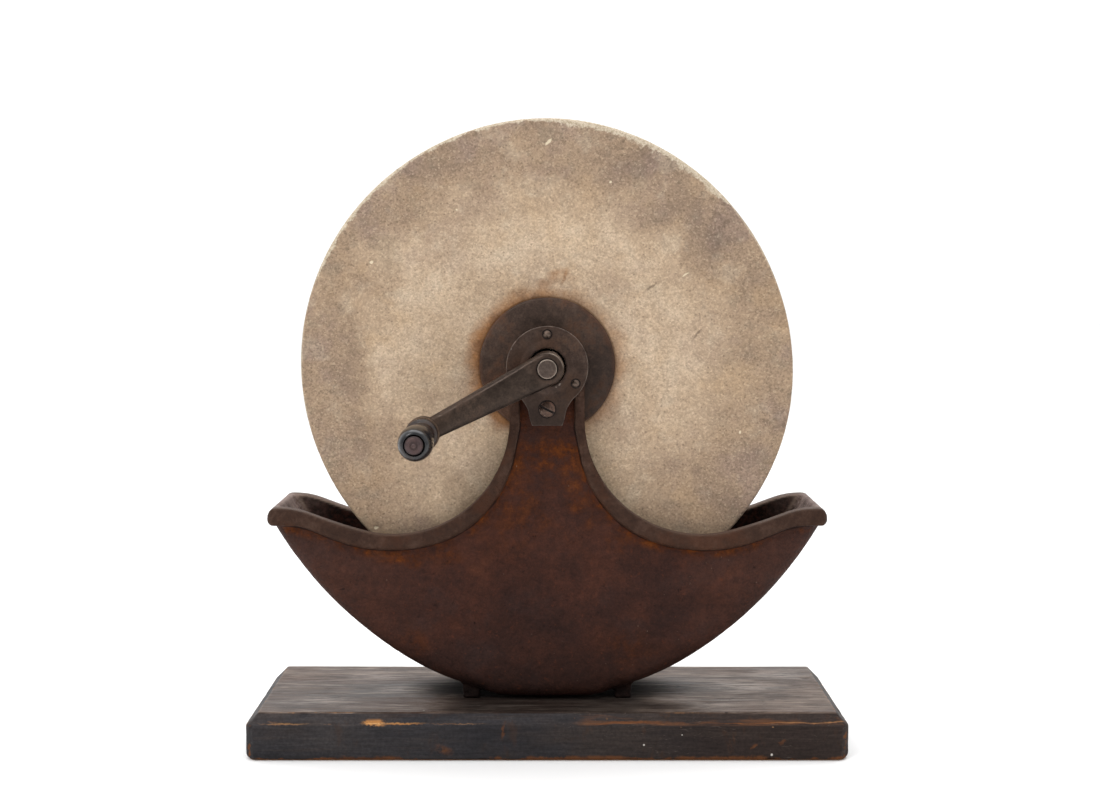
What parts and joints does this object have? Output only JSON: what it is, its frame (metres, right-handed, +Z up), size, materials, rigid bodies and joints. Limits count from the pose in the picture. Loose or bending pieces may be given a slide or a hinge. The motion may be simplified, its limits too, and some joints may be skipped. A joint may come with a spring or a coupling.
{
  "type": "hand-cranked wet grindstone",
  "caption": "Round sandstone grindstone on a ball-bearing axle with a hand crank, turning in a boat-shaped cast iron water trough on a chamfered wooden board.",
  "frame": {"origin": "centre of the base board's underside", "axes": "+Z up, +X along the board to the right when the crank faces the viewer, -Y towards the crank's side; Y = 0 is the stone's middle plane"},
  "size_m": [0.3662, 0.2089, 0.3893],
  "materials": {
    "board_paint": "softwood board, black paint worn to bare wood at the edges",
    "trough_iron": "pebbly casting, dark red-brown rust",
    "screw_steel": "darkened, worn bright at the slot",
    "plate_steel": "dark patina, fine pits",
    "bearing_steel": "oily, dark",
    "rivet_steel": "dark patina",
    "sandstone": "fine-grained sandstone, rust-stained round the eye, dark worn edge",
    "wedge_wood": "plain hardwood",
    "axle_steel": "dark patina",
    "flange_iron": "dark grey-brown iron with light rust",
    "crank_iron": "forged iron, dark gunmetal, hand-polished",
    "spindle_steel": "rust-brown worn steel",
    "washer_steel": "worn steel",
    "grip_black": "turned, black satin lacquer worn smooth by hand",
    "ball_steel": "polished ball, oily"
  },
  "bodies": {
    "frame": {"base_board": "board_paint", "trough": "trough_iron", "trough_mounting_screws": "screw_steel", "front_bearing_plate": "plate_steel", "rear_bearing_plate": "plate_steel", "front_bearing_cup": "bearing_steel", "rear_bearing_cup": "bearing_steel", "front_plate_rivets": "rivet_steel", "rear_plate_rivets": "rivet_steel", "front_plate_screw": "screw_steel", "rear_plate_screw": "screw_steel"},
    "rotor": {"grindstone": "sandstone", "eye_wedges": "wedge_wood", "axle": "axle_steel", "front_flange": "flange_iron", "rear_flange": "flange_iron", "flange_nut": "flange_iron", "front_bearing_cone": "bearing_steel", "rear_bearing_cone": "bearing_steel", "crank_arm": "crank_iron", "crank_key_pin": "axle_steel", "handle_spindle": "spindle_steel", "handle_washer": "washer_steel"},
    "grip": {"handle_grip": "grip_black"},
    "front_balls": {"front_bearing_balls": "ball_steel"},
    "rear_balls": {"rear_bearing_balls": "ball_steel"}
  },
  "joints": [
    {"name": "stone_spin", "type": "hinge", "parent": "frame", "child": "rotor", "pos_m": [0, 0, 0.2368], "axis": [0, 1, 0], "continuous": true},
    {"name": "grip_spin", "type": "hinge", "parent": "rotor", "child": "grip", "pos_m": [-0.0747, -0.1, 0.1979], "axis": [0, 1, 0], "continuous": true},
    {"name": "front_ball_orbit", "type": "hinge", "parent": "frame", "child": "front_balls", "pos_m": [0, -0.0375, 0.2368], "axis": [0, 1, 0], "continuous": true},
    {"name": "rear_ball_orbit", "type": "hinge", "parent": "frame", "child": "rear_balls", "pos_m": [0, 0.0375, 0.2368], "axis": [0, 1, 0], "continuous": true}
  ],
  "couplings": [
    {"joint": "front_ball_orbit", "follows": "stone_spin", "ratio": 0.4137},
    {"joint": "rear_ball_orbit", "follows": "stone_spin", "ratio": 0.4137}
  ]
}
